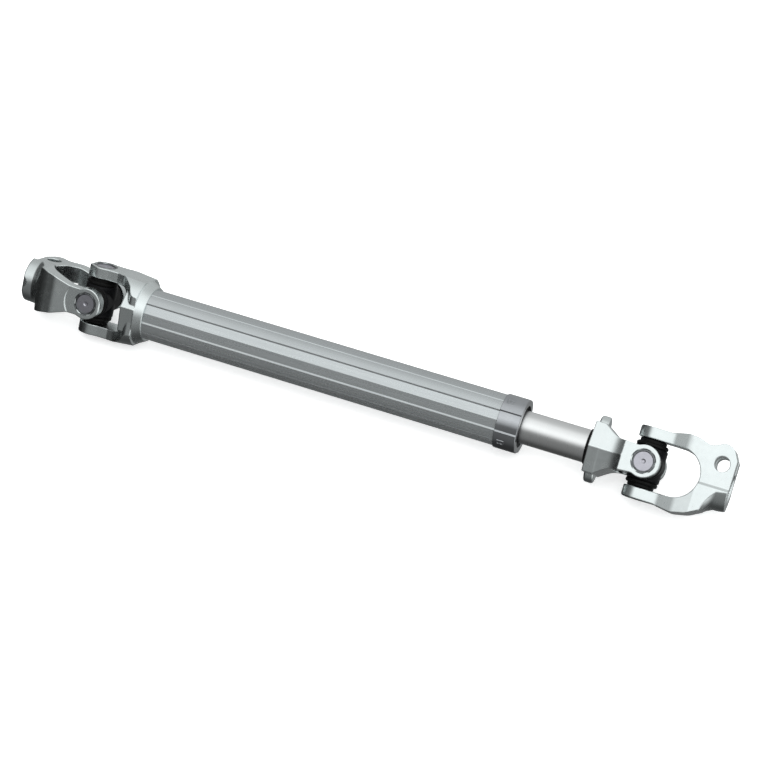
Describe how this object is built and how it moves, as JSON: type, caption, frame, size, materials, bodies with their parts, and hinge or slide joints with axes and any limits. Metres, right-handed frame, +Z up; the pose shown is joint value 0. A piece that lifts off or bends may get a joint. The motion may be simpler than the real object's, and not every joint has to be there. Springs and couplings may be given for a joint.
{
  "type": "universal joint shaft",
  "caption": "Telescopic steering shaft: fluted outer tube and ball-guided inner shaft between two cardan joints with clamp yokes.",
  "frame": {"origin": "on the shaft axis, in the bore of the column clamp, where the pinch-bolt axis passes it", "axes": "+X along the shaft from the column clamp to the pinion clamp, +Z up when the shaft lies as in the picture"},
  "size_m": [0.5144, 0.0592, 0.0544],
  "materials": {
    "yoke_steel": "forged and zinc plated, satin",
    "tube_steel": "drawn, satin",
    "cap_steel": "polished, darker than the tube",
    "ground_steel": "ground and polished",
    "cup_steel": "drawn, bright",
    "bearing_steel": "hardened and ground",
    "cross_black": "black phosphate",
    "seal_rubber": "semi-gloss black",
    "bearing_plastic": "plain nylon"
  },
  "bodies": {
    "outer_tube": {"outer_tube": "tube_steel", "tube_fork": "yoke_steel", "end_cap": "cap_steel", "wiper_seal": "seal_rubber", "guide_bush": "bearing_plastic", "ball_rails": "bearing_steel", "fork_cup_upper": "cup_steel", "fork_cup_lower": "cup_steel", "fork_needles_upper": "bearing_steel", "fork_needles_lower": "bearing_steel"},
    "column_cross": {"column_cross": "cross_black", "fork_seal_upper": "seal_rubber", "fork_seal_lower": "seal_rubber", "fork_thrust_pad_upper": "bearing_plastic", "fork_thrust_pad_lower": "bearing_plastic", "column_seal_rear": "seal_rubber", "column_seal_front": "seal_rubber", "column_thrust_pad_rear": "bearing_plastic", "column_thrust_pad_front": "bearing_plastic"},
    "column_clamp": {"column_clamp_yoke": "yoke_steel", "column_cup_rear": "cup_steel", "column_cup_front": "cup_steel", "column_needles_rear": "bearing_steel", "column_needles_front": "bearing_steel"},
    "inner_shaft": {"inner_shaft": "ground_steel", "shaft_yoke": "yoke_steel", "shaft_ring": "seal_rubber", "stop_ring": "bearing_steel", "shaft_yoke_cup_front": "cup_steel", "shaft_yoke_cup_rear": "cup_steel", "shaft_yoke_needles_front": "bearing_steel", "shaft_yoke_needles_rear": "bearing_steel"},
    "ball_cage": {"ball_cage": "bearing_plastic", "spline_balls": "bearing_steel"},
    "pinion_cross": {"pinion_cross": "cross_black", "shaft_yoke_seal_front": "seal_rubber", "shaft_yoke_seal_rear": "seal_rubber", "shaft_yoke_thrust_pad_front": "bearing_plastic", "shaft_yoke_thrust_pad_rear": "bearing_plastic", "pinion_seal_upper": "seal_rubber", "pinion_seal_lower": "seal_rubber", "pinion_thrust_pad_upper": "bearing_plastic", "pinion_thrust_pad_lower": "bearing_plastic"},
    "pinion_clamp": {"pinion_clamp_yoke": "yoke_steel", "pinion_cup_upper": "cup_steel", "pinion_cup_lower": "cup_steel", "pinion_needles_upper": "bearing_steel", "pinion_needles_lower": "bearing_steel"}
  },
  "joints": [
    {"name": "fork_trunnion", "type": "hinge", "parent": "outer_tube", "child": "column_cross", "pos_m": [0.0454, 0, 0], "axis": [0, 0.5878, 0.809], "range_deg": [-25, 25]},
    {"name": "column_trunnion", "type": "hinge", "parent": "column_cross", "child": "column_clamp", "pos_m": [0.0454, 0, 0], "axis": [0, 0.809, -0.5878], "range_deg": [-25, 25]},
    {"name": "ball_slide", "type": "slide", "parent": "outer_tube", "child": "inner_shaft", "axis": [1, 0, 0], "range_m": [-0.04, 0.045]},
    {"name": "cage_slide", "type": "slide", "parent": "outer_tube", "child": "ball_cage", "axis": [1, 0, 0], "range_m": [-0.02, 0.0225]},
    {"name": "shaft_yoke_trunnion", "type": "hinge", "parent": "inner_shaft", "child": "pinion_cross", "pos_m": [0.449, 0, 0], "axis": [0, -0.5878, 0.809], "range_deg": [-25, 25]},
    {"name": "pinion_trunnion", "type": "hinge", "parent": "pinion_cross", "child": "pinion_clamp", "pos_m": [0.449, 0, 0], "axis": [0, 0.809, 0.5878], "range_deg": [-25, 25]}
  ],
  "couplings": [
    {"joint": "cage_slide", "follows": "ball_slide", "ratio": 0.5}
  ]
}
